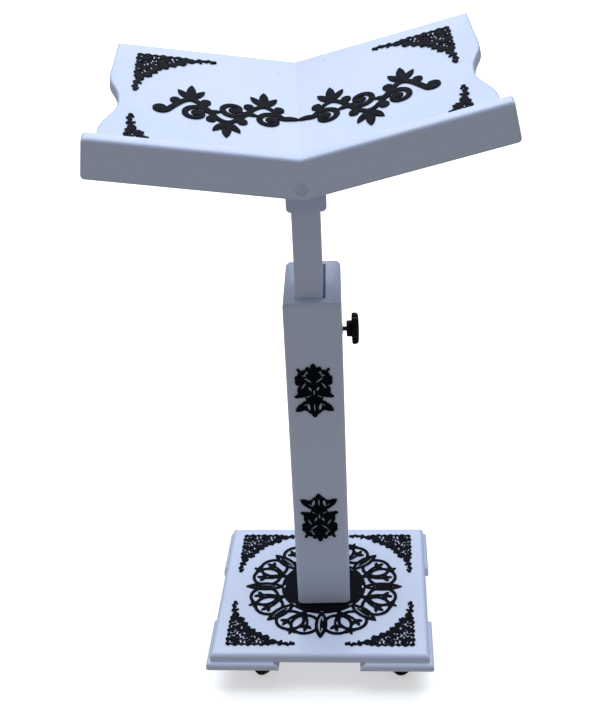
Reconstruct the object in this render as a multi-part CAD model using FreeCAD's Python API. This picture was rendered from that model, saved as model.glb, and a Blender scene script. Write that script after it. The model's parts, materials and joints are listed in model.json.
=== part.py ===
import FreeCAD, Part
import math
import os

# Height-adjustable book stand for reading while standing: a square base on four swivel
# casters, a hollow box column, a clamped sliding mast and a V-shaped book rest.
# Millimetres. X to the right, +Y away from the reader, +Z up, floor at Z = 0.

V = FreeCAD.Vector
X_AXIS = V(1, 0, 0)
Y_AXIS = V(0, 1, 0)
Z_AXIS = V(0, 0, 1)

# The origin lies under the middle of the bounding box, this far from the base's centre.
CENTRE_X = -2.617
CENTRE_Y = 11.503

# Base
BASE_SIZE = 300.0
BASE_THICK = 12.0
BASE_ROUND = 6.0
BLOCK_SIZE = 100.0
BLOCK_THICK = 10.0
BLOCK_OVERHANG = 5.5
BLOCK_ROUND = 5.0
BLOCK_SLOPE = 7.5
BLOCK_LIP = 1.2

# Casters
CASTER_HEIGHT = 42.0
CASTER_REACH = 97.0
WHEEL_R = 17.0
WHEEL_WIDTH = 16.0
WHEEL_BORE_R = 2.55
AXLE_R = 2.5
TRAIL = 18.0
PLATE_SIZE = 40.0
PLATE_THICK = 2.0
SCREW_OFFSET = 15.0
KINGPIN_R = 3.0
CASTERS = {
    "fl": (-1, -1, -50.0),
    "fr": (1, -1, -45.0),
    "rl": (-1, 1, 24.0),
    "rr": (1, 1, 62.0),
}

# Column: four boards round an open slot
COLUMN_LEFT = -35.0
COLUMN_W = 75.0
COLUMN_D = 151.0
COLUMN_Y = 36.5
COLUMN_TOP = 535.0
COLUMN_TURN = 2.3
WALL = 16.0
CLAMP_WALL = 20.0
COLUMN_ROUND = 8.0
RIM_ROUND = 7.0
PLUG_HEIGHT = 40.0

# Mast
MAST_W = 35.5
MAST_D = 60.0
MAST_LENGTH = 430.0
MAST_GAP = 0.4

# Clamp
CLAMP_Z = 478.0
SCREW_R = 2.95
SCREW_LENGTH = 35.0
PAD_R = 5.0
PAD_THICK = 1.5
KNOB_R = 21.0
KNOB_THICK = 10.0
HUB_R = 11.0
HUB_THICK = 6.5
KNOB_STANDOFF = 5.6

# Book rest, in its own frame: X across, Y up the slope, Z square to the spine
REST_AT = V(3.5, -114.5, 717.3)
REST_TURN = 4.8
REST_TILT = 13.7
REST_ROLL = -2.4
WING_ANGLE = 12.0
WING_LENGTH = 305.0
WING_WIDTH = 232.0
WING_THICK = 16.0
WING_ROUND = 3.0
SCALLOP = ((305, 232), (236, 234), (213, 234.5), (197, 232), (179, 225), (163, 220.5),
           (147, 219), (130, 220.5), (114, 226), (100, 231.5), (88, 235), (74, 236.5), (0, 237))
LIP_THICK = 16.0
LIP_ABOVE = 36.0
LIP_PAST = 14.0
LIP_ROUND = 5.0
LIP_PLUG_R = 7.0
LIP_PLUG_AT = (-1.5, 16.0)

# Head block under the book rest
HEAD_W = 50.0
HEAD_D = 96.0
HEAD_BOTTOM = 650.5
HEAD_FRONT = -30.0
HEAD_ROUND = 7.0
DOWEL_R = 6.0

# Applied cut-out ornaments
TRIM = 1.6
BASE_LACE = 96.0
WING_LACE = 102.0
SHIELD_X = 1.0

BASE_BOTTOM = CASTER_HEIGHT + BLOCK_THICK
BASE_TOP = BASE_BOTTOM + BASE_THICK
COLUMN_FRONT = COLUMN_Y - COLUMN_D / 2
COLUMN_RIGHT = COLUMN_LEFT + COLUMN_W
SLOT_W = COLUMN_W - WALL - CLAMP_WALL
SLOT_X = COLUMN_LEFT + WALL + SLOT_W / 2
PIVOT = V(COLUMN_LEFT + COLUMN_W / 2, COLUMN_FRONT, 0)
MAST_X = COLUMN_LEFT + WALL + MAST_GAP + MAST_W / 2
MAST_Y = COLUMN_FRONT + WALL + MAST_GAP + MAST_D / 2


def box(x0, y0, z0, dx, dy, dz):
    return Part.makeBox(dx, dy, dz, V(x0, y0, z0))


def rod(r, h, at, axis=Z_AXIS):
    return Part.makeCylinder(r, h, at, axis)


def fuse(shapes):
    body = shapes[0].multiFuse(shapes[1:])
    return body.removeSplitter()


def turned(shape, at, axis, degrees):
    copy = shape.copy()
    copy.rotate(at, axis, degrees)
    return copy


def moved(shape, x, y, z):
    copy = shape.copy()
    copy.translate(V(x, y, z))
    return copy


def edges_where(shape, test):
    return [e for e in shape.Edges if test(e.BoundBox)]


def flat(b, low):
    return b.ZLength < 0.01 and abs(b.ZMin - low) < 0.01


def prism(points, height):
    wire = Part.makePolygon([V(x, y, 0) for x, y in points + [points[0]]])
    return Part.Face(wire).extrude(V(0, 0, height))


# Base ---------------------------------------------------------------------------------

def base_board():
    half = BASE_SIZE / 2
    board = box(-half, -half, BASE_BOTTOM, BASE_SIZE, BASE_SIZE, BASE_THICK)
    board = board.makeFillet(2.0, edges_where(board, lambda b: b.ZLength > 1))
    board = board.makeFillet(BASE_ROUND, edges_where(board, lambda b: flat(b, BASE_TOP)))
    for x, y in column_screw_places():
        board = board.cut(on_column(rod(2.5, BASE_THICK, V(x, y, BASE_BOTTOM))))
        board = board.cut(on_column(Part.makeCone(5.05, 2.5, 2.6, V(x, y, BASE_BOTTOM))))
    return board


def foot_block(sx, sy):
    """Rounded on its two outer edges, with its two inner ends sloping in towards the top."""
    reach = BASE_SIZE / 2 + BLOCK_OVERHANG
    inner = reach - BLOCK_SIZE
    profile = [(inner, CASTER_HEIGHT), (reach, CASTER_HEIGHT), (reach, BASE_BOTTOM),
               (inner + BLOCK_SLOPE, BASE_BOTTOM), (inner, CASTER_HEIGHT + BLOCK_LIP)]
    profile.append(profile[0])
    across = Part.Face(Part.makePolygon([V(u, inner, z) for u, z in profile]))
    along = Part.Face(Part.makePolygon([V(inner, u, z) for u, z in profile]))
    block = across.extrude(V(0, BLOCK_SIZE, 0)).common(along.extrude(V(BLOCK_SIZE, 0, 0))).Solids[0]
    corner = edges_where(block, lambda b: b.ZLength > 1 and b.XMin + b.YMin > 2 * reach - 1)
    block = block.makeFillet(3.0, corner)
    outer = edges_where(block, lambda b: flat(b, BASE_BOTTOM)
                        and max(b.XMin + b.XMax, b.YMin + b.YMax) > 2 * reach - 6)
    block = block.makeFillet(BLOCK_ROUND, outer)
    block = turned(block, V(0, 0, 0), Z_AXIS, {(1, 1): 0, (-1, 1): 90, (-1, -1): 180, (1, -1): 270}[sx, sy])
    for x, y in caster_screw_places(sx, sy):
        block = block.cut(rod(1.7, 9, V(x, y, CASTER_HEIGHT)))
    return block


# Casters ------------------------------------------------------------------------------

def caster_screw_places(sx, sy):
    return [(sx * CASTER_REACH + i * SCREW_OFFSET, sy * CASTER_REACH + j * SCREW_OFFSET)
            for i in (-1, 1) for j in (-1, 1)]


def caster_plate(sx, sy):
    x = sx * CASTER_REACH
    y = sy * CASTER_REACH
    half = PLATE_SIZE / 2
    low = CASTER_HEIGHT - PLATE_THICK
    plate = box(x - half, y - half, low, PLATE_SIZE, PLATE_SIZE, PLATE_THICK)
    plate = plate.makeFillet(4.0, edges_where(plate, lambda b: b.ZLength > 1))
    race = Part.makeCone(10.0, 12.0, 3.6, V(x, y, low - 3.6))
    pin = rod(KINGPIN_R, 9.5, V(x, y, low - 9.5))
    head = rod(4.6, 1.8, V(x, y, low - 9.6))
    body = fuse([plate, race, pin, head])
    for px, py in caster_screw_places(sx, sy):
        body = body.cut(rod(1.75, 8, V(px, py, low - 4)))
    return body


def caster_screw(x, y):
    top = CASTER_HEIGHT - PLATE_THICK
    head = rod(3.2, 1.6, V(x, y, top - 1.6))
    head = head.makeFillet(0.9, edges_where(head, lambda b: flat(b, top - 1.6)))
    slot = fuse([box(x - 1.6, y - 0.3, top - 1.7, 3.2, 0.6, 0.9),
                 box(x - 0.3, y - 1.6, top - 1.7, 0.6, 3.2, 0.9)])
    return fuse([head.cut(slot), rod(1.65, 10, V(x, y, top - 0.1))])


def caster_fork(sx, sy, heading):
    crown_low = CASTER_HEIGHT - PLATE_THICK - 6.5
    crown = rod(13.0, 2.5, V(0, 0, crown_low)).cut(rod(KINGPIN_R + 0.08, 4, V(0, 0, crown_low - 1)))
    outline = [(-9.0, crown_low + 2.0), (9.0, crown_low + 2.0), (TRAIL + 5.0, WHEEL_R + 3.0),
               (TRAIL + 5.0, WHEEL_R - 3.0), (TRAIL + 2.0, WHEEL_R - 5.5),
               (TRAIL - 2.0, WHEEL_R - 5.5), (TRAIL - 6.0, WHEEL_R - 1.0)]
    pieces = [crown]
    for side in (-1, 1):
        wire = Part.makePolygon([V(u, side * 9.2, z) for u, z in outline + [outline[0]]])
        pieces.append(Part.Face(wire).extrude(V(0, side * 2.0, 0)))
    fork = fuse(pieces)
    fork = fork.cut(rod(AXLE_R, 30, V(TRAIL, -15, WHEEL_R), Y_AXIS))
    fork = turned(fork, V(0, 0, 0), Z_AXIS, heading)
    return moved(fork, sx * CASTER_REACH, sy * CASTER_REACH, 0)


def caster_wheel(sx, sy, heading):
    half = WHEEL_WIDTH / 2
    tread = rod(WHEEL_R, WHEEL_WIDTH, V(TRAIL, -half, WHEEL_R), Y_AXIS)
    rims = [e for e in tread.Edges if e.BoundBox.YLength < 0.01]
    wheel = tread.makeFillet(3.0, rims)
    for side in (-1, 1):
        ring = rod(14.0, 2.0, V(TRAIL, side * half, WHEEL_R), V(0, -side, 0))
        wheel = wheel.cut(ring.cut(rod(6.0, 2.0, V(TRAIL, side * half, WHEEL_R), V(0, -side, 0))))
    wheel = wheel.cut(rod(WHEEL_BORE_R, 40, V(TRAIL, -20, WHEEL_R), Y_AXIS))
    wheel = turned(wheel, V(0, 0, 0), Z_AXIS, heading)
    return moved(wheel, sx * CASTER_REACH, sy * CASTER_REACH, 0)


def caster_axle(sx, sy, heading):
    pin = rod(AXLE_R, 22.4, V(TRAIL, -11.2, WHEEL_R), Y_AXIS)
    heads = [rod(4.0, 1.4, V(TRAIL, side * 11.2, WHEEL_R), V(0, side, 0)) for side in (-1, 1)]
    axle = turned(fuse([pin] + heads), V(0, 0, 0), Z_AXIS, heading)
    return moved(axle, sx * CASTER_REACH, sy * CASTER_REACH, 0)


# Column -------------------------------------------------------------------------------

def on_column(shape):
    """The column and all it carries stand turned a little on the base."""
    return turned(shape, PIVOT, Z_AXIS, COLUMN_TURN)


def column_screw_places():
    return [(SLOT_X, COLUMN_Y + d) for d in (-36, -12, 12, 36)]


def column_side(side):
    wall = CLAMP_WALL if side > 0 else WALL
    x0 = COLUMN_RIGHT - wall if side > 0 else COLUMN_LEFT
    board = box(x0, COLUMN_FRONT, BASE_TOP, wall, COLUMN_D, COLUMN_TOP - BASE_TOP)
    outer = COLUMN_RIGHT if side > 0 else COLUMN_LEFT
    inner = x0 if side > 0 else x0 + wall
    corners = edges_where(board, lambda b: b.ZLength > 1 and abs(b.XMin - outer) < 0.01)
    board = board.makeFillet(COLUMN_ROUND, corners)
    rim = edges_where(board, lambda b: flat(b, COLUMN_TOP) and not
                      (b.XLength < 0.01 and abs(b.XMin - inner) < 0.01))
    board = board.makeFillet(RIM_ROUND, rim)
    if side > 0:
        board = board.cut(rod(5.0, wall, V(x0, MAST_Y, CLAMP_Z), X_AXIS))
    return on_column(board)


def column_face(front):
    y0 = COLUMN_FRONT if front else COLUMN_FRONT + COLUMN_D - WALL
    board = box(SLOT_X - SLOT_W / 2, y0, BASE_TOP, SLOT_W, WALL, COLUMN_TOP - BASE_TOP)
    outer = COLUMN_FRONT if front else COLUMN_FRONT + COLUMN_D
    rim = edges_where(board, lambda b: flat(b, COLUMN_TOP) and b.YLength < 0.01
                      and abs(b.YMin - outer) < 0.01)
    return on_column(board.makeFillet(RIM_ROUND, rim))


def column_plug():
    low_x, low_y = COLUMN_LEFT + WALL, COLUMN_FRONT + WALL
    plug = box(low_x, low_y, BASE_TOP, SLOT_W, COLUMN_D - 2 * WALL, PLUG_HEIGHT)
    for x, y in column_screw_places():
        plug = plug.cut(rod(2.5, 32, V(x, y, BASE_TOP)))
    return on_column(plug)


def column_screws():
    screws = []
    for x, y in column_screw_places():
        head = Part.makeCone(5.0, 2.4, 2.6, V(x, y, BASE_BOTTOM))
        socket = prism([(x + 2.4 * math.cos(math.radians(a)), y + 2.4 * math.sin(math.radians(a)))
                        for a in range(0, 360, 60)], 1.6)
        head = head.cut(moved(socket, 0, 0, BASE_BOTTOM - 0.1))
        screws.append(fuse([head, rod(2.4, 40, V(x, y, BASE_BOTTOM + 1.5))]))
    return on_column(Part.makeCompound(screws))


def threaded_insert():
    x0 = COLUMN_RIGHT - CLAMP_WALL
    sleeve = rod(5.0, CLAMP_WALL, V(x0, MAST_Y, CLAMP_Z), X_AXIS)
    flange = rod(7.5, 0.8, V(COLUMN_RIGHT, MAST_Y, CLAMP_Z), X_AXIS)
    return on_column(fuse([sleeve, flange]).cut(rod(3.0, 40, V(x0 - 5, MAST_Y, CLAMP_Z), X_AXIS)))


# Clamp --------------------------------------------------------------------------------

def pad_tip():
    return MAST_X + MAST_W / 2 + 0.3


def pressure_pad():
    disc = rod(PAD_R, PAD_THICK, V(pad_tip(), MAST_Y, CLAMP_Z), X_AXIS)
    return on_column(disc.makeFillet(0.5, [e for e in disc.Edges if e.BoundBox.XLength < 0.01]))


def clamp_screw():
    start = pad_tip() + PAD_THICK
    return on_column(rod(SCREW_R, SCREW_LENGTH, V(start, MAST_Y, CLAMP_Z), X_AXIS))


def clamp_knob():
    face = COLUMN_RIGHT + KNOB_STANDOFF
    hub = rod(HUB_R, HUB_THICK, V(face, MAST_Y, CLAMP_Z), X_AXIS)
    head = rod(KNOB_R, KNOB_THICK, V(face + HUB_THICK, MAST_Y, CLAMP_Z), X_AXIS)
    for k in range(6):
        a = math.radians(60 * k + 30)
        at = V(face + HUB_THICK, MAST_Y + 25.5 * math.cos(a), CLAMP_Z + 25.5 * math.sin(a))
        head = head.cut(rod(8.6, KNOB_THICK, at, X_AXIS))
    rims = [e for e in head.Edges if e.BoundBox.XLength < 0.01]
    head = head.makeFillet(1.5, rims)
    depth = pad_tip() + PAD_THICK + SCREW_LENGTH
    shank = rod(SCREW_R, depth - face + 1, V(face - 1, MAST_Y, CLAMP_Z), X_AXIS)
    return on_column(fuse([hub, head]).cut(shank))


# Mast and head ------------------------------------------------------------------------

def mast():
    x0 = MAST_X - MAST_W / 2
    y0 = MAST_Y - MAST_D / 2
    z0 = HEAD_BOTTOM - MAST_LENGTH
    post = box(x0, y0, z0, MAST_W, MAST_D, MAST_LENGTH)
    post = post.makeFillet(3.0, edges_where(post, lambda b: b.ZLength > 1))
    return on_column(post.cut(rod(DOWEL_R, 32, V(MAST_X, MAST_Y, HEAD_BOTTOM - 32))))


def head_dowel():
    return on_column(rod(DOWEL_R - 0.05, 60, V(MAST_X, MAST_Y, HEAD_BOTTOM - 30)))


def head_block():
    turn = FreeCAD.Rotation(Z_AXIS, COLUMN_TURN)
    centre = PIVOT.add(turn.multVec(V(MAST_X, MAST_Y, 0).sub(PIVOT)))
    block = box(-HEAD_W / 2, HEAD_FRONT - MAST_Y, HEAD_BOTTOM, HEAD_W, HEAD_D, 120)
    block = block.makeFillet(4.0, edges_where(block, lambda b: b.ZLength > 1))
    block = block.makeFillet(HEAD_ROUND, edges_where(block, lambda b: flat(b, HEAD_BOTTOM)))
    block = moved(turned(block, V(0, 0, 0), Z_AXIS, REST_TURN), centre.x, centre.y, 0)
    block = block.cut(placed(wing_space(1))).cut(placed(wing_space(-1)))
    return block.cut(rod(DOWEL_R, 32, V(centre.x, centre.y, HEAD_BOTTOM)))


# Book rest ----------------------------------------------------------------------------

def placed(shape):
    rotation = FreeCAD.Rotation(Z_AXIS, REST_TURN).multiply(FreeCAD.Rotation(X_AXIS, REST_TILT))
    rotation = rotation.multiply(FreeCAD.Rotation(Y_AXIS, REST_ROLL))
    copy = shape.copy()
    copy.Placement = FreeCAD.Placement(REST_AT, rotation).multiply(copy.Placement)
    return copy


def on_wing(shape, side):
    """Turns a shape drawn flat, X along the wing from the spine, up to its wing's angle."""
    copy = shape if side > 0 else shape.mirror(V(0, 0, 0), X_AXIS)
    return turned(copy, V(0, 0, 0), Y_AXIS, -side * WING_ANGLE)


def wing_space(side):
    slab = box(-60, -20, -WING_THICK, 400, 420, 200)
    half = box(0, -100, -200, 500, 600, 600) if side > 0 else box(-500, -100, -200, 500, 600, 600)
    return on_wing(slab, side).common(half)


def wing_side():
    """The outer edge of a wing: straight, with one soft hollow for the hand."""
    points = [V(t, s, 0) for s, t in SCALLOP]
    curve = Part.BSplineCurve()
    curve.interpolate(points[1:-1])
    upper = Part.LineSegment(points[0], points[1])
    lower = Part.LineSegment(points[-2], points[-1])
    return [upper.toShape(), curve.toShape(), lower.toShape()]


def wing(side):
    corner = [V(SCALLOP[-1][1], 0, 0), V(-10, 0, 0), V(-10, WING_LENGTH, 0), V(WING_WIDTH, WING_LENGTH, 0)]
    wire = Part.Wire(wing_side() + Part.makePolygon(corner).Edges)
    board = Part.Face(wire).extrude(V(0, 0, WING_THICK))
    board = moved(board, 0, 0, -WING_THICK)
    rim = edges_where(board, lambda b: b.ZLength < 0.01 and b.YMax > 1 and b.XMin > -9
                      or b.ZLength < 0.01 and b.YMin > WING_LENGTH - 1)
    board = board.makeFillet(WING_ROUND, rim)
    reach = box(0, -100, -200, 500, 600, 600)
    if side < 0:
        reach = box(-500, -100, -200, 500, 600, 600)
    return placed(on_wing(board, side).common(reach))


def front_lip():
    reach = WING_WIDTH + LIP_PAST
    halves = []
    for side in (-1, 1):
        plank = box(-30, -LIP_THICK, -WING_THICK, reach + 30, LIP_THICK, WING_THICK + LIP_ABOVE)
        ends = edges_where(plank, lambda b: b.YLength > 1 and b.XMin > 0)
        plank = plank.makeFillet(LIP_ROUND, ends)
        half = box(0, -100, -200, 500, 200, 500) if side > 0 else box(-500, -100, -200, 500, 200, 500)
        halves.append(on_wing(plank, side).common(half))
    lip = fuse(halves)
    top = [e for e in lip.Edges if abs(e.BoundBox.YMin + LIP_THICK) < 0.01 and e.BoundBox.YLength < 0.01
           and e.Length > 100 and e.BoundBox.ZMin > LIP_ABOVE - 5]
    lip = lip.makeFillet(LIP_ROUND, top)
    return placed(lip.cut(rod(LIP_PLUG_R, 4, lip_plug_place(), Y_AXIS)))


def lip_plug_place():
    lowest = -WING_THICK / math.cos(math.radians(WING_ANGLE))
    return V(LIP_PLUG_AT[0], -LIP_THICK, lowest + LIP_PLUG_AT[1])


def lip_plug():
    cap = rod(LIP_PLUG_R - 0.05, 3.8, lip_plug_place() + V(0, 0.2, 0), Y_AXIS)
    return placed(cap.makeFillet(0.5, [cap.Edges[0], cap.Edges[2]]))


# Applied cut-out ornaments: generic scrolls, rings and leaves ----------------------------

def leaf(x, y, length, width, angle):
    r = (length * length + width * width) / (4.0 * width)
    a = rod(r, TRIM, V(0, r - width / 2, 0))
    b = rod(r, TRIM, V(0, width / 2 - r, 0))
    return moved(turned(a.common(b), V(0, 0, 0), Z_AXIS, angle), x, y, 0)


def ring(x, y, outer, inner):
    return rod(outer, TRIM, V(x, y, 0)).cut(rod(inner, TRIM, V(x, y, 0)))


def polar(radius, degrees):
    a = math.radians(degrees)
    return radius * math.cos(a), radius * math.sin(a)


def rosette():
    pieces = [rod(62.0, TRIM, V(0, 0, 0))]
    for k in range(8):
        x, y = polar(86.0 if k % 2 == 0 else 80.0, 45 * k)
        pieces.append(leaf(x, y, 58.0 if k % 2 == 0 else 50.0, 13.0, 45 * k))
        for step in (-8, 8):
            x, y = polar(88.0, 45 * k + 22.5 + step)
            pieces.append(ring(x, y, 20.0, 15.5))
        x, y = polar(78.0, 45 * k + 22.5)
        pieces.append(leaf(x, y, 40.0, 10.0, 45 * k + 22.5))
    return fuse(pieces)


def corner_lace(leg):
    step = leg * 0.15
    pieces = []
    for i in range(4):
        for j in range(4 - i):
            r = step * (0.65 - 0.05 * max(i, j))
            pieces.append(ring(step * (0.65 + 0.98 * i), step * (0.65 + 0.98 * j), r, r * 0.5))
    for along in (0.72, 0.85):
        pieces.append(leaf(leg * along, step * 0.45, leg * 0.3, step * 0.42, -4))
        pieces.append(leaf(step * 0.45, leg * along, leg * 0.3, step * 0.42, 94))
    return fuse(pieces)


def shield_ornament():
    pieces = [leaf(0, 0, 77.0, 15.0, 90)]
    for side in (-1, 1):
        for x, y, r in ((12, 20, 10), (15, 2, 9.5), (11, -16, 9), (16, 29, 7), (6, -28, 6)):
            pieces.append(ring(side * x, y, r, r - 4.0))
        pieces.append(leaf(side * 14, 12, 26.0, 8.0, 90 - side * 28))
        pieces.append(leaf(side * 9, -22, 22.0, 7.0, 90 + side * 30))
    return fuse(pieces)


def panel_scroll():
    pieces = []
    for i in range(4):
        x = 30.0 + 30.0 * i
        y = 138.0 + (12.0 if i % 2 == 0 else -12.0)
        pieces.append(ring(x, y, 20.0, 14.5))
        pieces.append(leaf(x, y, 27.0, 8.0, 35 if i % 2 == 0 else -35))
    for i in range(3):
        up = 1 if i % 2 == 0 else -1
        pieces.append(leaf(45.0 + 30.0 * i, 138.0 + up * 34.0, 46.0, 12.0, up * 50))
    pieces.append(leaf(140.0, 152.0, 44.0, 12.0, 60))
    return fuse(pieces)


def on_base(shape, x=0.0, y=0.0, angle=0.0):
    return moved(turned(shape, V(0, 0, 0), Z_AXIS, angle), x, y, BASE_TOP)


def base_rosette():
    disc = on_base(rosette())
    hole = box(COLUMN_LEFT, COLUMN_FRONT, BASE_TOP - 1, COLUMN_W, COLUMN_D, 10)
    hole = hole.makeFillet(COLUMN_ROUND, edges_where(hole, lambda b: b.ZLength > 1))
    return disc.cut(on_column(hole))


def base_laces():
    lace = corner_lace(BASE_LACE)
    inset = BASE_SIZE / 2 - 19.0
    turns = ((-1, -1, 0), (1, -1, 90), (1, 1, 180), (-1, 1, 270))
    return Part.makeCompound([on_base(lace, sx * inset, sy * inset, a) for sx, sy, a in turns])


def column_ornament(z, flip):
    shape = turned(shield_ornament(), V(0, 0, 0), Z_AXIS, 180 if flip else 0)
    shape = turned(shape, V(0, 0, 0), X_AXIS, 90)
    return on_column(moved(shape, SHIELD_X, COLUMN_FRONT, z))


def wing_laces(side):
    lace = corner_lace(WING_LACE)
    out = WING_WIDTH - 26
    upper = moved(turned(lace, V(0, 0, 0), Z_AXIS, 180), out, WING_LENGTH - 26, 0)
    lower = moved(turned(lace, V(0, 0, 0), Z_AXIS, 90), out, 14, 0)
    return placed(on_wing(Part.makeCompound([upper, lower]), side))


def wing_scroll(side):
    return placed(on_wing(panel_scroll(), side))


# All nodes ----------------------------------------------------------------------------

def all_nodes():
    nodes = {"base_board": base_board(), "base_rosette": base_rosette(), "base_corner_laces": base_laces()}
    screws = []
    for key, (sx, sy, heading) in CASTERS.items():
        nodes["foot_block_" + key] = foot_block(sx, sy)
        nodes["caster_plate_" + key] = caster_plate(sx, sy)
        nodes["caster_fork_" + key] = caster_fork(sx, sy, heading)
        nodes["caster_wheel_" + key] = caster_wheel(sx, sy, heading)
        nodes["caster_axle_" + key] = caster_axle(sx, sy, heading)
        screws += [caster_screw(x, y) for x, y in caster_screw_places(sx, sy)]
    nodes["caster_screws"] = Part.makeCompound(screws)
    nodes["column_left"] = column_side(-1)
    nodes["column_right"] = column_side(1)
    nodes["column_front"] = column_face(True)
    nodes["column_back"] = column_face(False)
    nodes["column_plug"] = column_plug()
    nodes["column_screws"] = column_screws()
    nodes["column_ornament_upper"] = column_ornament(411.7, False)
    nodes["column_ornament_lower"] = column_ornament(212.9, True)
    nodes["threaded_insert"] = threaded_insert()
    nodes["pressure_pad"] = pressure_pad()
    nodes["clamp_screw"] = clamp_screw()
    nodes["clamp_knob"] = clamp_knob()
    nodes["mast"] = mast()
    nodes["head_dowel"] = head_dowel()
    nodes["head_block"] = head_block()
    nodes["left_wing"] = wing(-1)
    nodes["right_wing"] = wing(1)
    nodes["front_lip"] = front_lip()
    nodes["lip_plug"] = lip_plug()
    nodes["left_wing_laces"] = wing_laces(-1)
    nodes["right_wing_laces"] = wing_laces(1)
    nodes["left_wing_scroll"] = wing_scroll(-1)
    nodes["right_wing_scroll"] = wing_scroll(1)
    return nodes


os.makedirs("parts", exist_ok=True)
for name, shape in all_nodes().items():
    moved(shape, -CENTRE_X, -CENTRE_Y, 0).exportStep("parts/" + name + ".step")
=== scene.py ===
import json
import math

import bpy
import numpy as np
from mathutils import Matrix, Vector


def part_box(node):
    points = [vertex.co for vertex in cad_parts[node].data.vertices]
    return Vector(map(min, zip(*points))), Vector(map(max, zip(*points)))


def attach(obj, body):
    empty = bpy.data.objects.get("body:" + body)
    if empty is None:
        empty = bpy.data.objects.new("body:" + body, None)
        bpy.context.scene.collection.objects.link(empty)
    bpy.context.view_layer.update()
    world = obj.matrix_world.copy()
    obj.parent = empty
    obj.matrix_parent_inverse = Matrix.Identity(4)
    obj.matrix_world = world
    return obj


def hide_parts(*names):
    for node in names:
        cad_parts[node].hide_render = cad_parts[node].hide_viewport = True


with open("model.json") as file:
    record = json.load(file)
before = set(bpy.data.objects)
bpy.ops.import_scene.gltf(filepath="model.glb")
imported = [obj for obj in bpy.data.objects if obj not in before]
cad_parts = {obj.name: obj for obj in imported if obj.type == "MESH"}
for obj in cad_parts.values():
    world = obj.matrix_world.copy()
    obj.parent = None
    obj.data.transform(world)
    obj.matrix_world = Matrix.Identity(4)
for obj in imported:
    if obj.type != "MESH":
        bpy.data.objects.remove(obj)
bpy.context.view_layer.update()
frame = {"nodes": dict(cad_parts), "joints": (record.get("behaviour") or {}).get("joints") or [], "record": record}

TRIM = 0.0016             # thickness of the applied cut-outs
TRIM_EDGE = 0.00035       # bevel along their edges
GRID = 0.0006             # spacing of the grid the cut-outs are drawn on
FAR = 0.02                # distance that an empty sheet starts with
MARGIN = 0.003            # drawn round each shape, so that its edge isn't lost
STROKE_MARGIN = 0.002     # the same for a stroke
SPECK = 8                 # outlines with fewer points are dropped
TAU = 2 * math.pi


# ---------------------------------------------------------------- materials

class Nodes:
    """A short way to write a node material."""

    def __init__(self, name):
        self.mat = bpy.data.materials.new(name)
        self.mat.use_nodes = True
        self.tree = self.mat.node_tree
        self.bsdf = self.tree.nodes["Principled BSDF"]
        self.coords = self.add("ShaderNodeTexCoord").outputs["Object"]

    def add(self, kind, **values):
        node = self.tree.nodes.new(kind)
        for key, value in values.items():
            if hasattr(node, key):
                setattr(node, key, value)
            else:
                node.inputs[key.replace("_", " ")].default_value = value
        return node

    def link(self, a, b):
        self.tree.links.new(a, b)

    def set(self, **values):
        for key, value in values.items():
            self.bsdf.inputs[key.replace("_", " ")].default_value = value

    def noise(self, scale, detail=4.0, stretch=None):
        """Noise over the piece's own coordinates, stretched along its axes if asked."""
        node = self.add("ShaderNodeTexNoise", Scale=scale, Detail=detail)
        source = self.coords
        if stretch:
            mapping = self.add("ShaderNodeMapping", Scale=stretch)
            self.link(source, mapping.inputs["Vector"])
            source = mapping.outputs["Vector"]
        self.link(source, node.inputs["Vector"])
        return node.outputs["Fac"]

    def ramp(self, fac, stops):
        """Colours between stops of (position, colour)."""
        node = self.add("ShaderNodeValToRGB")
        ramp = node.color_ramp
        ramp.elements[0].position, ramp.elements[0].color = stops[0][0], stops[0][1]
        ramp.elements[1].position, ramp.elements[1].color = stops[-1][0], stops[-1][1]
        for position, colour in stops[1:-1]:
            ramp.elements.new(position).color = colour
        self.link(fac, node.inputs["Fac"])
        return node.outputs["Color"]

    def grey(self, fac, low, high, start=0.3, end=0.7):
        return self.ramp(fac, [(start, (low, low, low, 1)), (end, (high, high, high, 1))])

    def mix(self, fac, a, b):
        node = self.add("ShaderNodeMix", data_type="RGBA")
        self.link(fac, node.inputs["Factor"])
        for socket, value in ((node.inputs[6], a), (node.inputs[7], b)):
            if isinstance(value, tuple):
                socket.default_value = value
            else:
                self.link(value, socket)
        return node.outputs[2]

    def edges(self, low=0.51, high=0.56):
        """1 on convex outer edges, where painted highlights go, 0 elsewhere."""
        # painted highlight mask: convexity, not wear, decides where edges are painted paler
        geometry = self.add("ShaderNodeNewGeometry")
        return self.grey(geometry.outputs["Pointiness"], 0.0, 1.0, low, high)

    def bumps(self, layers):
        """Bump layers of (height, strength, distance), each laid over the one before."""
        last = None
        for fac, strength, distance in layers:
            node = self.add("ShaderNodeBump", Strength=strength, Distance=distance)
            self.link(fac, node.inputs["Height"])
            if last:
                self.link(last, node.inputs["Normal"])
            last = node.outputs["Normal"]
        self.link(last, self.bsdf.inputs["Normal"])


def lacquer():
    """White gloss paint with a faint tint, fine specks, and a painted highlight that makes its convex edges paler.
    """
    n = Nodes("white_gloss_lacquer")
    n.set(Specular_IOR_Level=0.36, Coat_Weight=0.18, Coat_Roughness=0.12)
    broad = n.ramp(n.noise(5.0, 3.0), [(0.3, (0.485, 0.560, 0.760, 1)), (0.7, (0.505, 0.575, 0.775, 1))])
    specks = n.grey(n.noise(420.0, 2.0), 0.0, 0.14, 0.70, 0.78)
    dusty = n.mix(specks, broad, (0.42, 0.47, 0.60, 1))
    # painted highlight: the convex edges are painted a paler, bluer white
    n.link(n.mix(n.edges(), dusty, (0.58, 0.65, 0.84, 1)), n.bsdf.inputs["Base Color"])
    n.link(n.grey(n.noise(60.0, 5.0), 0.27, 0.35), n.bsdf.inputs["Roughness"])
    n.bumps([(n.noise(900.0, 2.0), 0.04, 0.0002), (n.noise(110.0, 2.0), 0.06, 0.0004),
             (n.noise(14.0, 2.0), 0.03, 0.002)])
    return n.mat


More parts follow.
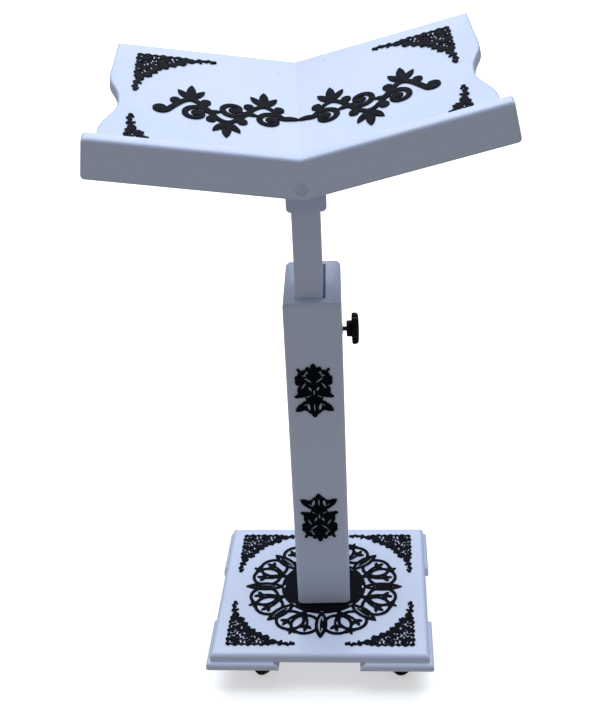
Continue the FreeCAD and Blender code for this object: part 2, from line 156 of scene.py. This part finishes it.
def black_trim():
    """Dull black sheet, with a painted highlight that makes its convex cut edges paler."""
    n = Nodes("black_cut_trim")
    n.set(Specular_IOR_Level=0.03)
    base = n.ramp(n.noise(40.0, 4.0),
                  [(0.3, (0.0020, 0.0026, 0.0050, 1)), (0.7, (0.0034, 0.0044, 0.0085, 1))])
    # painted highlight: the convex cut edges are painted a lighter black
    n.link(n.mix(n.edges(0.52, 0.60), base, (0.008, 0.010, 0.020, 1)), n.bsdf.inputs["Base Color"])
    n.link(n.grey(n.noise(150.0, 4.0), 0.38, 0.55), n.bsdf.inputs["Roughness"])
    n.bumps([(n.noise(700.0, 3.0), 0.12, 0.0002), (n.noise(90.0, 2.0), 0.15, 0.0005)])
    return n.mat


def moulded(name, colour, rough, grain):
    """Moulded plastic or rubber, with grain as the scale of its fine texture."""
    n = Nodes(name)
    n.set(Specular_IOR_Level=0.12)
    dark = tuple(c * 0.75 for c in colour) + (1,)
    light = tuple(min(1.0, c * 1.6 + 0.002) for c in colour) + (1,)
    # painted highlight: the convex edges are painted a lighter copy of the colour (light)
    n.link(n.mix(n.edges(), n.ramp(n.noise(35.0), [(0.3, dark), (0.7, colour + (1,))]), light),
           n.bsdf.inputs["Base Color"])
    n.link(n.grey(n.noise(120.0), rough - 0.07, rough + 0.09), n.bsdf.inputs["Roughness"])
    n.bumps([(n.noise(grain, 3.0), 0.25, 0.0003), (n.noise(60.0, 2.0), 0.1, 0.0008)])
    return n.mat


def metal(name, colour, rough, stretch):
    """Metal with fine marks, drawn out by stretch."""
    n = Nodes(name)
    n.set(Metallic=1.0)
    dull = tuple(c * 0.72 for c in colour) + (1,)
    n.link(n.ramp(n.noise(25.0, 6.0), [(0.3, dull), (0.65, colour + (1,))]), n.bsdf.inputs["Base Color"])
    n.link(n.grey(n.noise(80.0, 6.0, stretch), rough - 0.1, rough + 0.12), n.bsdf.inputs["Roughness"])
    n.bumps([(n.noise(300.0, 3.0, stretch), 0.2, 0.0002)])
    return n.mat


def bare_wood():
    n = Nodes("bare_wood")
    grain = n.noise(40.0, 8.0, (1.0, 1.0, 0.06))
    n.link(n.ramp(grain, [(0.3, (0.30, 0.17, 0.08, 1)), (0.7, (0.58, 0.40, 0.22, 1))]),
           n.bsdf.inputs["Base Color"])
    n.link(n.grey(grain, 0.55, 0.75), n.bsdf.inputs["Roughness"])
    n.bumps([(grain, 0.3, 0.0006)])
    return n.mat


MATERIALS = {
    "white_lacquer": lacquer(),
    "black_trim": black_trim(),
    "knob_plastic": moulded("black_knob_plastic", (0.0035, 0.0035, 0.0042), 0.42, 600.0),
    "pad_plastic": moulded("ivory_pad_plastic", (0.60, 0.57, 0.48), 0.5, 500.0),
    "caster_wheel": moulded("black_caster_tread", (0.0045, 0.0045, 0.005), 0.6, 350.0),
    "black_steel": metal("black_oxide_steel", (0.045, 0.045, 0.048), 0.42, (1.0, 1.0, 8.0)),
    "zinc_steel": metal("zinc_plated_steel", (0.62, 0.63, 0.66), 0.36, (1.0, 1.0, 8.0)),
    "insert_brass": metal("turned_brass", (0.80, 0.58, 0.26), 0.3, (12.0, 1.0, 1.0)),
    "raw_wood": bare_wood(),
}

for part in frame["record"]["subparts"]:
    node = frame["nodes"][part["node"]]
    node.data.materials.clear()
    node.data.materials.append(MATERIALS[part["material_slot"]])


# ---------------------------------------------------------------- places read from the frame

def main_plane(node, towards):
    """The largest flat face of a node that looks roughly one way: its normal and its offset."""
    groups = {}
    mesh = frame["nodes"][node].data
    for poly in mesh.polygons:
        if poly.normal.dot(Vector(towards)) > 0.8:
            key = tuple(round(c, 2) for c in poly.normal)
            entry = groups.setdefault(key, [0.0, Vector(), 0.0])
            entry[0] += poly.area
            entry[1] += poly.normal * poly.area
            entry[2] += poly.normal.dot(poly.center) * poly.area
    area, normal, offset = max(groups.values(), key=lambda g: g[0])
    return normal.normalized(), offset / area


def meet(planes):
    """The point where three planes meet."""
    rows = np.array([list(n) for n, d in planes])
    return Vector(np.linalg.solve(rows, np.array([d for n, d in planes])))


def frame_matrix(origin, x, y, z):
    return Matrix(((x.x, y.x, z.x, origin.x), (x.y, y.y, z.y, origin.y),
                   (x.z, y.z, z.z, origin.z), (0, 0, 0, 1)))


left_face = main_plane("left_wing", (0, -0.1, 1))
right_face = main_plane("right_wing", (0, -0.1, 1))
lip_back = main_plane("front_lip", (0, 1, 0))
spine_foot = meet([left_face, right_face, lip_back])
spine = left_face[0].cross(right_face[0]).normalized()
spine = spine if spine.y > 0 else -spine
wing_frames = {side: frame_matrix(spine_foot, spine.cross(face[0]), spine, face[0])
               for side, face in (("left", left_face), ("right", right_face))}
right_points = [v.co - spine_foot for v in frame["nodes"]["right_wing"].data.vertices]
wing_length = max(point.dot(spine) for point in right_points)
across = wing_frames["right"].to_3x3().col[0]
back_strip = 0.01
wing_width = max(point.dot(across) for point in right_points if point.dot(spine) > wing_length - back_strip)

base_low, base_high = [Vector(c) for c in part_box("base_board")]
base_centre = Vector(((base_low.x + base_high.x) / 2, (base_low.y + base_high.y) / 2, base_high.z))
base_frame = Matrix.Translation(base_centre)
column_face = main_plane("column_front", (0, -1, 0))
JOINTS = {joint["name"]: joint for joint in frame["joints"]}


def add_piece(name, mesh, slot, body, node, smooth=35.0):
    """Makes a piece that rides on a body in place of a CAD node, with its sharper edges kept sharp."""
    mesh.name = name
    mesh.materials.clear()
    mesh.materials.append(MATERIALS[slot])
    obj = bpy.data.objects.new(name, mesh)
    bpy.context.scene.collection.objects.link(obj)
    mesh.shade_smooth()
    mesh.set_sharp_from_angle(angle=math.radians(smooth))
    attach(obj, body)
    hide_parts(node)


# ---------------------------------------------------------------- cut-outs drawn as a signed distance

class Sheet:
    """A flat cut-out, drawn on a grid as the distance to its edge (negative inside)."""

    def __init__(self, low_x, high_x, low_y, high_y):
        self.xs = np.arange(low_x, high_x + GRID, GRID)
        self.ys = np.arange(low_y, high_y + GRID, GRID)
        self.field = np.full((len(self.ys), len(self.xs)), FAR)

    def window(self, x0, x1, y0, y1):
        """The part of the grid inside a box: its slices, and its x and y."""
        i0 = max(0, int((x0 - self.xs[0]) / GRID))
        i1 = min(len(self.xs), int((x1 - self.xs[0]) / GRID) + 2)
        j0 = max(0, int((y0 - self.ys[0]) / GRID))
        j1 = min(len(self.ys), int((y1 - self.ys[0]) / GRID) + 2)
        gx, gy = np.meshgrid(self.xs[i0:i1], self.ys[j0:j1])
        return (slice(j0, j1), slice(i0, i1)), gx, gy

    def join(self, where, distance, cut=False):
        """Adds a shape to the sheet, or takes it away."""
        if distance.size:
            old = self.field[where]
            self.field[where] = np.maximum(old, -distance) if cut else np.minimum(old, distance)

    def disc(self, x, y, r):
        where, gx, gy = self.window(x - r - MARGIN, x + r + MARGIN, y - r - MARGIN, y + r + MARGIN)
        self.join(where, np.hypot(gx - x, gy - y) - r)

    def ring(self, x, y, r, width):
        reach = r + width + MARGIN
        where, gx, gy = self.window(x - reach, x + reach, y - reach, y + reach)
        self.join(where, np.abs(np.hypot(gx - x, gy - y) - r) - width / 2)

    def leaf(self, x, y, length, width, angle, cut=False):
        """A pointed leaf between two arcs."""
        reach = length / 2 + MARGIN
        where, gx, gy = self.window(x - reach, x + reach, y - reach, y + reach)
        c, s = math.cos(angle), math.sin(angle)
        u = (gx - x) * c + (gy - y) * s
        v = -(gx - x) * s + (gy - y) * c
        r = (length * length + width * width) / (4 * width)
        self.join(where, np.hypot(u, np.abs(v) + r - width / 2) - r, cut)

    def stroke(self, points, start, end, cut=False):
        """A line of changing width through the points."""
        count = len(points) - 1
        for i in range(count):
            (x0, y0), (x1, y1) = points[i], points[i + 1]
            w0 = start + (end - start) * i / count
            w1 = start + (end - start) * (i + 1) / count
            pad = max(w0, w1) + STROKE_MARGIN
            where, gx, gy = self.window(min(x0, x1) - pad, max(x0, x1) + pad,
                                        min(y0, y1) - pad, max(y0, y1) + pad)
            dx, dy = x1 - x0, y1 - y0
            t = np.clip(((gx - x0) * dx + (gy - y0) * dy) / (dx * dx + dy * dy + 1e-12), 0, 1)
            self.join(where, np.hypot(gx - x0 - t * dx, gy - y0 - t * dy) - (w0 + (w1 - w0) * t) / 2, cut)

    def loops(self):
        """The closed outlines where the field crosses zero.

        A cell's case says which of its corners are inside. Its steps say from which side to which
        side an outline runs through it, with its sides numbered low y, high x, high y and low x."""
        self.field[[0, -1], :] = FAR
        self.field[:, [0, -1]] = FAR
        inside = self.field < 0
        after = {}
        cells = inside[:-1, :-1] * 1 + inside[:-1, 1:] * 2 + inside[1:, 1:] * 4 + inside[1:, :-1] * 8
        steps = {1: [(3, 0)], 2: [(0, 1)], 3: [(3, 1)], 4: [(1, 2)], 5: [(3, 0), (1, 2)], 6: [(0, 2)],
                 7: [(3, 2)], 8: [(2, 3)], 9: [(2, 0)], 10: [(0, 1), (2, 3)], 11: [(2, 1)],
                 12: [(1, 3)], 13: [(1, 0)], 14: [(0, 3)]}
        for j, i in zip(*np.nonzero((cells > 0) & (cells < 15))):
            sides = (("h", j, i), ("v", j, i + 1), ("h", j + 1, i), ("v", j, i))
            for a, b in steps[int(cells[j, i])]:
                after[sides[a]] = sides[b]
        found = []
        while after:
            first, here = after.popitem()
            loop = [first]
            while here != first:
                loop.append(here)
                here = after.pop(here)
            found.append([self.crossing(*key) for key in loop])
        return found

    def crossing(self, way, j, i):
        """Where an outline crosses the grid's horizontal or vertical line that starts at a point."""
        a = self.field[j, i]
        b = self.field[j, i + 1] if way == "h" else self.field[j + 1, i]
        t = a / (a - b)
        x = self.xs[i] + (t * GRID if way == "h" else 0)
        y = self.ys[j] + (t * GRID if way == "v" else 0)
        return x, y


def smooth_loop(points, passes=2, short=24):
    """Evens out the grid's steps, and keeps every second point of all but short loops."""
    p = np.array(points)
    for _ in range(passes):
        p = 0.5 * p + 0.25 * (np.roll(p, 1, axis=0) + np.roll(p, -1, axis=0))
    return p[::2] if len(p) > short else p


def cut_out(name, sheet, matrix, body, node, mirror=False):
    """Extrudes a sheet's outlines into a bevelled flat piece and rides it on its body."""
    curve = bpy.data.curves.new(name, "CURVE")
    curve.dimensions = "2D"
    curve.fill_mode = "BOTH"
    curve.extrude = TRIM / 2 - TRIM_EDGE
    curve.bevel_depth = TRIM_EDGE
    curve.bevel_resolution = 1
    curve.offset = -TRIM_EDGE
    for loop in sheet.loops():
        if len(loop) < SPECK:
            continue
        points = smooth_loop(loop)
        spline = curve.splines.new("POLY")
        spline.points.add(len(points) - 1)
        for point, (x, y) in zip(spline.points, points):
            point.co = (x, y, 0, 1)
        spline.use_cyclic_u = True
    holder = bpy.data.objects.new(name + "_curve", curve)
    bpy.context.scene.collection.objects.link(holder)
    bpy.context.view_layer.update()
    mesh = bpy.data.meshes.new_from_object(holder.evaluated_get(bpy.context.evaluated_depsgraph_get()))
    bpy.data.objects.remove(holder)
    flip = Matrix.Diagonal((-1.0 if mirror else 1.0, 1.0, 1.0, 1.0))
    mesh.transform(matrix @ flip @ Matrix.Translation((0, 0, TRIM / 2)))
    if mirror:
        mesh.flip_normals()
    add_piece(name, mesh, "black_trim", body, node)


def polar(r, angle):
    return r * math.cos(angle), r * math.sin(angle)


def spiral(x, y, r, turns, angle, hand, tightness=0.82, steps=44):
    """Points winding in to a centre, from the outer end."""
    points = []
    for i in range(steps + 1):
        t = i / steps
        a = angle + hand * TAU * turns * t
        here = r * (1 - tightness * t)
        points.append((x + here * math.cos(a), y + here * math.sin(a)))
    return points


def arc(x, y, r, start, end, steps=18):
    return [(x + r * math.cos(start + (end - start) * i / steps),
             y + r * math.sin(start + (end - start) * i / steps)) for i in range(steps + 1)]


def bezier(a, b, c, d, steps=20):
    points = []
    for i in range(steps + 1):
        t = i / steps
        k = ((1 - t) ** 3, 3 * t * (1 - t) ** 2, 3 * t * t * (1 - t), t ** 3)
        points.append(tuple(sum(w * p[n] for w, p in zip(k, (a, b, c, d))) for n in (0, 1)))
    return points


def sprig(sheet, x, y, angle, length, width):
    """A leaf that grows from a point."""
    sheet.leaf(x + length / 2 * math.cos(angle), y + length / 2 * math.sin(angle), length, width, angle)


def trefoil(sheet, x, y, size, angle):
    """A three-lobed bud that points along angle."""
    for turn in (-1.0, 0.0, 1.0):
        a = angle + turn
        length = size * (1.25 if turn == 0 else 1.0)
        sheet.leaf(x + 0.45 * length * math.cos(a), y + 0.45 * length * math.sin(a), length,
                   size * 0.5, a)
    sheet.disc(x, y, size * 0.26)


def rosette_sheet():
    """A disc with eight pierced leaves round it, and between them a bud and a pair of hooped stems."""
    reach, count = 0.113, 8
    hoop_at, bud_at, tip_at = 0.084, 0.086, 0.100
    sheet = Sheet(-reach, reach, -reach, reach)
    for k in range(count):
        a = TAU * k / count
        length = 0.0555 if k % 2 == 0 else 0.050
        middle = 0.054 + length / 2
        sheet.leaf(*polar(middle, a), length, 0.017, a)
        sheet.leaf(*polar(middle - 0.001, a), length * 0.66, 0.0085, a, cut=True)
        sheet.leaf(*polar(middle, a), length * 0.55, 0.0034, a)
        b = a + TAU / count / 2
        for hand in (-1, 1):
            sheet.ring(*polar(hoop_at, b + hand * math.radians(7.5)), 0.0185, 0.0044)
            q = b + hand * math.radians(9.5)
            stem = bezier(polar(0.055, b), polar(0.066, b), polar(0.072, q), polar(bud_at, q))
            sheet.stroke(stem, 0.0040, 0.0032)
            trefoil(sheet, *polar(bud_at, q), 0.0105, q)
        trefoil(sheet, *polar(tip_at, b), 0.0085, b)
    sheet.disc(0, 0, 0.0585)
    for k in range(count):
        a = TAU * k / count
        sheet.leaf(*polar(0.0545, a), 0.010, 0.0026, a + TAU / 4, cut=True)
    return sheet


def lace_sheet(leg):
    """A corner piece of scrolls between two legs and a hollow arc, with a beaded tail on each leg.

    It is drawn in units of which a leg has 96, and the legs are each other's mirror image."""
    sheet = Sheet(-0.006, leg + 0.008, -0.006, leg + 0.008)
    u = leg / 96.0
    centre, reach = 89.2 * u, 78.8 * u
    gx, gy = np.meshgrid(sheet.xs, sheet.ys)
    body = np.maximum(np.maximum(2.2 * u - gx, 2.2 * u - gy), reach - np.hypot(gx - centre, gy - centre))
    body = np.maximum(body, np.maximum(gx, gy) - 60.0 * u)
    sheet.join((slice(None), slice(None)), body)
    for k in range(-5, 6):
        a = math.pi + TAU / 8 + k * 0.076
        x, y = centre + (reach + 0.4 * u) * math.cos(a), centre + (reach + 0.4 * u) * math.sin(a)
        sheet.disc(x, y, (3.1 if k % 2 else 2.3) * u)
        if k % 2 == 0:
            sprig(sheet, x, y, a + math.pi + (0.7 if k < 0 else -0.7), 7.0 * u, 3.6 * u)
    for flip in (False, True):
        def place(x, y):
            return (y * u, x * u) if flip else (x * u, y * u)

        def lean(degrees):
            return math.radians(90 - degrees if flip else degrees)

        for k in range(7):
            sheet.disc(*place(4.5 + 9.2 * k, 3.0), (3.5 if k % 2 else 2.7) * u)
        sheet.stroke([place(x, y) for x, y in bezier((56, 8), (68, 12), (77, 1), (95, 4))], 6.4 * u, 2.4 * u)
        sheet.ring(*place(65.5, 8.0), 4.0 * u, 2.9 * u)
        sprig(sheet, *place(75.0, 5.5), lean(58), 7.5 * u, 3.6 * u)
        for x, y, r in ((75.5, 3.5, 3.0), (84.0, 4.6, 3.0), (87.0, 1.6, 1.9), (94.0, 4.6, 2.9),
                        (90.5, 7.4, 1.8)):
            sheet.disc(*place(x, y), r * u)
        for x, y, r, start in ((18.5, 7.6, 3.3, 200), (29.5, 7.8, 3.4, 20), (40.5, 7.8, 3.3, 190),
                               (51.0, 7.4, 2.8, 10), (27.0, 17.4, 3.2, 100), (37.6, 17.2, 2.9, 280),
                               (47.2, 14.8, 2.2, 60)):
            way, sweep = lean(start), math.radians(-230 if flip else 230)
            sheet.stroke(arc(*place(x, y), r * u, way, way + sweep), 1.2 * u, 2.7 * u, cut=True)
        for x, y, degrees in ((22.5, 12.6, 30), (33.0, 12.4, -35), (43.5, 11.8, 25), (19.0, 24.0, 75)):
            sheet.leaf(*place(x, y), 6.0 * u, 1.9 * u, lean(degrees), cut=True)
    for at, r, start in ((8.6, 3.1, 1.2), (17.8, 3.0, 3.4), (26.4, 2.5, 0.6)):
        sheet.stroke(arc(at * u, at * u, r * u, start, start + 4.0), 1.2 * u, 2.7 * u, cut=True)
    return sheet


def shield_sheet():
    """An upright badge: a bud on a broad head, a waist and a flared foot, pierced with slits."""
    sheet = Sheet(-0.034, 0.034, -0.046, 0.046)

    def mm(*values):
        return [v / 1000 for v in values]

    for x, y, r in ((0, 12, 15.5), (0, -5, 13.5), (0, -24, 11.5), (0, 24, 5.5)):
        sheet.disc(*mm(x, y, r))
    sheet.leaf(*mm(0, 33.5, 12.5, 8.0), TAU / 4)
    sheet.leaf(*mm(0, -33, 13.5, 9.0), TAU / 4)
    for hand in (-1, 1):
        def tilt(degrees):
            return math.radians(degrees if hand > 0 else 180 - degrees)

        for x, y, r in ((13, 14, 8.5), (16.5, 23, 4.6), (13, 27.5, 3.2), (21, 18.5, 3.8), (14, 1, 8.0),
                        (7.5, 31.5, 3.4), (17, -5, 5.0), (10, -22, 7.5)):
            sheet.disc(*mm(hand * x, y, r))
        sheet.stroke([mm(0, 24), mm(hand * 4.5, 27.5), mm(hand * 7.5, 31.5)], 0.0052, 0.0046)
        sheet.leaf(*mm(hand * 21.5, -8, 10.0, 5.0), tilt(-8))
        sheet.leaf(*mm(hand * 15.5, -23.5, 24.0, 10.5), tilt(-34))
        sheet.leaf(*mm(hand * 22.0, 12, 9.0, 5.0), tilt(70))
        sheet.leaf(*mm(hand * 19.0, 30, 8.0, 4.0), tilt(50))
        for x, y, length, width, degrees in ((7.5, 15.5, 15, 2.3, 38), (13.5, 7, 13, 2.2, -58),
                                             (5, 2.5, 8, 3.0, 60), (12.5, 22.0, 8, 1.9, 12),
                                             (7.5, -24, 12, 3.6, 78), (12.0, -21, 7, 1.8, -40),
                                             (7.5, -8.5, 11, 1.8, -28)):
            sheet.leaf(*mm(hand * x, y, length, width), tilt(degrees), cut=True)
    sheet.leaf(*mm(0, -2.5, 10.0, 2.0), TAU / 4, cut=True)
    sheet.leaf(*mm(0, -25, 13.0, 1.8), TAU / 4, cut=True)
    return sheet


def shoot(sheet, x, y, heading, r, turns, hand, start, end):
    """A curl that leaves a stem along its heading and winds in."""
    a = heading - hand * TAU / 4
    cx, cy = x - r * math.cos(a), y - r * math.sin(a)
    sheet.stroke(spiral(cx, cy, r, turns, a, hand), start, end)
    sheet.disc(cx, cy, end * 0.95)


def vine_sheet():
    """A waving vine across a wing: a curl in each hollow of the wave and leaves on its crests."""
    sheet = Sheet(-0.002, 0.196, 0.062, 0.222)
    heavy, fine = 0.0086, 0.0052
    first, last, wave, middle, swing = 0.020, 0.160, 0.090, 0.143, 0.0235
    steps, half_waves, curl_apart = 90, 3, 0.012

    def stem(x):
        """The vine's height and heading."""
        turn = TAU * (x - first) / wave
        return middle + swing * math.sin(turn), math.atan(swing * math.cos(turn) * TAU / wave)

    xs = [first + (last - first) * i / steps for i in range(steps + 1)]
    sheet.stroke([(x, stem(x)[0]) for x in xs], heavy * 0.7, heavy)
    for k in range(half_waves):
        x = first + wave * k / 2
        y, heading = stem(x)
        hand = -1 if k % 2 == 0 else 1
        shoot(sheet, x, y, heading, 0.0175, 1.4, hand, heavy, fine)
        sprig(sheet, x + 0.006, y + hand * 0.004, heading - hand * 1.9, 0.023, 0.0082)
        crest = x + wave / 4
        for lean, length, width in ((0.0, 0.037, 0.0120), (0.62, 0.029, 0.0100), (-0.62, 0.029, 0.0100)):
            sprig(sheet, crest, stem(crest)[0], -hand * TAU / 4 + lean, length, width)
        for side in (-1, 1):
            root = crest + side * curl_apart
            y, slope = stem(root)
            shoot(sheet, root, y, slope + (0 if side > 0 else math.pi), 0.0072, 1.15, -hand * side,
                  fine, fine * 0.8)
    y, heading = stem(last)
    shoot(sheet, last, y, heading, 0.0085, 1.3, 1, heavy, fine)
    y, heading = stem(first)
    sprig(sheet, first + 0.002, y, heading + math.pi / 2 + 0.5, 0.024, 0.0095)
    return sheet


ROSETTE_SCALE = 1.055
BASE_LEG, BASE_INSET = 0.096, 0.019               # corner laces: length of a leg, distance from the edges
WING_LEG, WING_INSET, LIP_INSET = 0.102, 0.026, 0.014


def place_on_base():
    wide = Matrix.Diagonal((ROSETTE_SCALE, ROSETTE_SCALE, 1.0, 1.0))
    cut_out("rosette_cutout", rosette_sheet(), base_frame @ wide, "base", "base_rosette")
    lace = lace_sheet(BASE_LEG)
    inset = (base_high.x - base_low.x) / 2 - BASE_INSET
    for k, (sx, sy, turn) in enumerate(((-1, -1, 0), (1, -1, 90), (1, 1, 180), (-1, 1, 270))):
        where = base_frame @ Matrix.Translation((sx * inset, sy * inset, 0))
        where = where @ Matrix.Rotation(math.radians(turn), 4, "Z")
        cut_out("base_lace_%d" % k, lace, where, "base", "base_corner_laces")


def place_on_column():
    shield = shield_sheet()
    outward, offset = column_face
    for name, flip in (("upper", 1), ("lower", -1)):
        low, high = [Vector(c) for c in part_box("column_ornament_" + name)]
        middle = (low + high) / 2
        at = middle + outward * (offset - middle.dot(outward))
        up = Vector((0, 0, flip))
        cut_out("shield_" + name, shield, frame_matrix(at, up.cross(outward), up, outward), "base",
                "column_ornament_" + name)


def place_on_wings():
    lace, vine = lace_sheet(WING_LEG), vine_sheet()
    for side, sign in (("left", -1), ("right", 1)):
        mirrored = side == "left"
        here = wing_frames[side]
        out = sign * (wing_width - WING_INSET)
        top = here @ Matrix.Translation((out, wing_length - WING_INSET, 0))
        top = top @ Matrix.Rotation(math.radians(180), 4, "Z")
        cut_out(side + "_lace_upper", lace, top, "mast", side + "_wing_laces", mirror=mirrored)
        low = here @ Matrix.Translation((out, LIP_INSET, 0))
        low = low @ Matrix.Rotation(math.radians(sign * 90), 4, "Z")
        cut_out(side + "_lace_lower", lace, low, "mast", side + "_wing_laces", mirror=mirrored)
        cut_out(side + "_vine", vine, here, "mast", side + "_wing_scroll", mirror=mirrored)


place_on_base()
place_on_column()
place_on_wings()


# ---------------------------------------------------------------- turned and moulded pieces

def ring_mesh(rings, close_ends=True):
    """A mesh through rings of equal point counts."""
    count = len(rings[0])
    verts = [p for ring in rings for p in ring]
    faces = []
    for r in range(len(rings) - 1):
        for i in range(count):
            j = (i + 1) % count
            faces.append((r * count + i, r * count + j, (r + 1) * count + j, (r + 1) * count + i))
    if close_ends:
        faces.append(tuple(reversed(range(count))))
        faces.append(tuple((len(rings) - 1) * count + i for i in range(count)))
    mesh = bpy.data.meshes.new("rings")
    mesh.from_pydata(verts, [], faces)
    mesh.update()
    return mesh


def star_knob():
    """A six-lobed clamping knob, drawn along the clamp screw from its hub's inner face.

    Its profile gives shares of the depth, of the radius and of the hollow between two lobes."""
    lobes, hollow, squareness, steps = 6, 0.24, 0.55, 144
    axis, up = Vector(JOINTS["clamp_turn"]["axis"]).normalized(), Vector((0, 0, 1))
    matrix = frame_matrix(Vector(JOINTS["clamp_turn"]["pos_m"]), axis, up.cross(axis), up)
    corners = [matrix.inverted() @ v.co for v in frame["nodes"]["clamp_knob"].data.vertices]
    start = min(c.x for c in corners)
    depth = max(c.x for c in corners) - start
    radius = max(math.hypot(c.y, c.z) for c in corners)
    profile = [(0.000, 0.46, 0.0), (0.012, 0.50, 0.0), (0.34, 0.52, 0.0), (0.40, 0.50, 0.05),
               (0.415, 0.78, 0.7), (0.43, 0.93, 1.0), (0.50, 0.99, 1.0), (0.62, 1.0, 1.0),
               (0.78, 0.99, 1.0), (0.88, 0.95, 1.0), (0.945, 0.86, 0.95), (0.975, 0.72, 0.7),
               (0.985, 0.55, 0.35), (0.975, 0.44, 0.1), (0.955, 0.40, 0.0), (0.965, 0.34, 0.0),
               (0.99, 0.26, 0.0), (1.0, 0.12, 0.0)]
    rings = []
    for along, size, share in profile:
        ring = []
        for i in range(steps):
            a = TAU * i / steps
            wave = 0.5 + 0.5 * math.cos(lobes * a)
            r = radius * size * (1 - share * hollow * (1 - wave ** squareness))
            ring.append(matrix @ Vector((start + along * depth, r * math.cos(a), r * math.sin(a))))
        rings.append(ring)
    add_piece("star_knob", ring_mesh(rings), "knob_plastic", "clamp", "clamp_knob", smooth=50)


def turned_profile(name, profile, matrix, slot, body, node, count=96):
    """A body turned about its own x axis, through pairs of distance along it and radius."""
    rings = [[matrix @ Vector((x, r * math.cos(TAU * i / count), r * math.sin(TAU * i / count)))
              for i in range(count)] for x, r in profile]
    add_piece(name, ring_mesh(rings, close_ends=False), slot, body, node)


def wheel_profile():
    """A caster wheel with dished sides and a rounded tread that has a fine line round its middle.

    One side goes from the bore to the tread, in shares of half the width, and the other mirrors it."""
    radius, half, bore = 0.017, 0.0079, 0.00255
    hub, hub_edge, dish, rim_edge, rim = 0.0052, 0.0060, 0.0064, 0.0128, 0.0134
    side = [(0.95, bore), (0.95, hub), (0.98, hub_edge), (0.70, dish), (0.68, rim_edge), (0.95, rim),
            (1.0, 0.0150), (0.92, radius - 0.0022), (0.74, radius - 0.0008), (0.45, radius),
            (0.10, radius), (0.06, radius - 0.0004)]
    inner = [(-half * share, r) for share, r in side]
    outer = [(half * share, r) for share, r in reversed(side)]
    return inner + outer + inner[:1]


def caster_wheels():
    up = Vector((0, 0, 1))
    for key in ("fl", "fr", "rl", "rr"):
        joint = JOINTS["roll_" + key]
        axis = Vector(joint["axis"]).normalized()
        matrix = frame_matrix(Vector(joint["pos_m"]), axis, axis.cross(up), up)
        turned_profile("wheel_" + key + "_moulded", wheel_profile(), matrix, "caster_wheel", "wheel_" + key,
                       "caster_wheel_" + key)


star_knob()
caster_wheels()


# ---------------------------------------------------------------- floor, light and camera

FLOOR_SWEEP = ((6.0, 0.0), (7.0, 0.1), (8.0, 0.45), (8.8, 1.1), (9.4, 2.2), (9.7, 3.8), (9.8, 7.0))
FLOOR_GLOW = 0.45                                 # makes it white without lighting the object
SUN_STRENGTH, SUN_SPREAD = 3.08, math.radians(74)
SUN_COLOUR, SUN_HEADING = (0.84, 0.91, 1.0), (0.04, -0.30, -1.0)
SKY_COLOUR, SKY_STRENGTH = (1.0, 0.99, 0.96, 1), 0.31
CAMERA_YAW, CAMERA_PITCH, CAMERA_ROLL = -0.0774, 0.4684, -0.0459
CAMERA_ACROSS, CAMERA_BACK = 0.0950, -1.3590      # from the base's centre
CAMERA_HEIGHT = 1.0716                            # above the foot blocks' undersides
CAMERA_LENS, SENSOR_WIDTH = 68.9, 36.0            # millimetres
CAMERA_SHIFT = (-0.0111, 0.0146)


def stage_floor():
    """A pale floor that sweeps up into a backdrop far behind the object on every side."""
    count = 64
    mesh = bpy.data.meshes.new("floor")
    points = [(r * math.cos(TAU * i / count), r * math.sin(TAU * i / count), z)
              for r, z in FLOOR_SWEEP for i in range(count)]
    faces = [tuple(range(count))]
    for row in range(len(FLOOR_SWEEP) - 1):
        for i in range(count):
            j = (i + 1) % count
            faces.append((row * count + j, row * count + i, (row + 1) * count + i, (row + 1) * count + j))
    mesh.from_pydata(points, [], faces)
    mesh.shade_smooth()
    n = Nodes("pale_floor")
    n.link(n.ramp(n.noise(2.0, 2.0), [(0.3, (0.90, 0.90, 0.90, 1)), (0.7, (0.92, 0.92, 0.92, 1))]),
           n.bsdf.inputs["Base Color"])
    n.set(Roughness=0.9, Emission_Strength=FLOOR_GLOW, Emission_Color=(1, 1, 1, 1))
    mesh.materials.append(n.mat)
    floor = bpy.data.objects.new("floor", mesh)
    bpy.context.scene.collection.objects.link(floor)
    floor.visible_diffuse = False
    floor.visible_glossy = False
    floor.visible_shadow = False


def studio():
    """One broad, slightly blue sun from high behind the object, and a plain pale world."""
    light = bpy.data.lights.new("high_sky", "SUN")
    light.energy = SUN_STRENGTH
    light.angle = SUN_SPREAD
    light.color = SUN_COLOUR
    sky = bpy.data.objects.new("high_sky", light)
    sky.rotation_euler = Vector(SUN_HEADING).to_track_quat("-Z", "Y").to_euler()
    bpy.context.scene.collection.objects.link(sky)
    world = bpy.data.worlds.new("studio")
    world.use_nodes = True
    background = world.node_tree.nodes["Background"]
    background.inputs["Color"].default_value = SKY_COLOUR
    background.inputs["Strength"].default_value = SKY_STRENGTH
    bpy.context.scene.world = world
    bpy.context.scene.view_settings.view_transform = "Standard"


def camera():
    """The view of the photograph: turned, tilted down and rolled, at a place measured from the base."""
    yaw, pitch, roll = CAMERA_YAW, CAMERA_PITCH, CAMERA_ROLL
    forward = Vector((math.sin(yaw) * math.cos(pitch), math.cos(yaw) * math.cos(pitch), -math.sin(pitch)))
    level = forward.cross(Vector((0, 0, 1))).normalized()
    upright = level.cross(forward)
    right = math.cos(roll) * level + math.sin(roll) * upright
    up = -math.sin(roll) * level + math.cos(roll) * upright
    block_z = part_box("foot_block_fl")[0][2]
    at = base_centre + Vector((CAMERA_ACROSS, CAMERA_BACK, CAMERA_HEIGHT - base_centre.z + block_z))
    data = bpy.data.cameras.new("camera")
    data.sensor_fit = "HORIZONTAL"
    data.sensor_width = SENSOR_WIDTH
    data.lens = CAMERA_LENS
    data.shift_x, data.shift_y = CAMERA_SHIFT
    obj = bpy.data.objects.new("camera", data)
    obj.matrix_world = frame_matrix(at, right, up, -forward)
    bpy.context.scene.collection.objects.link(obj)
    bpy.context.scene.camera = obj


stage_floor()
studio()
camera()
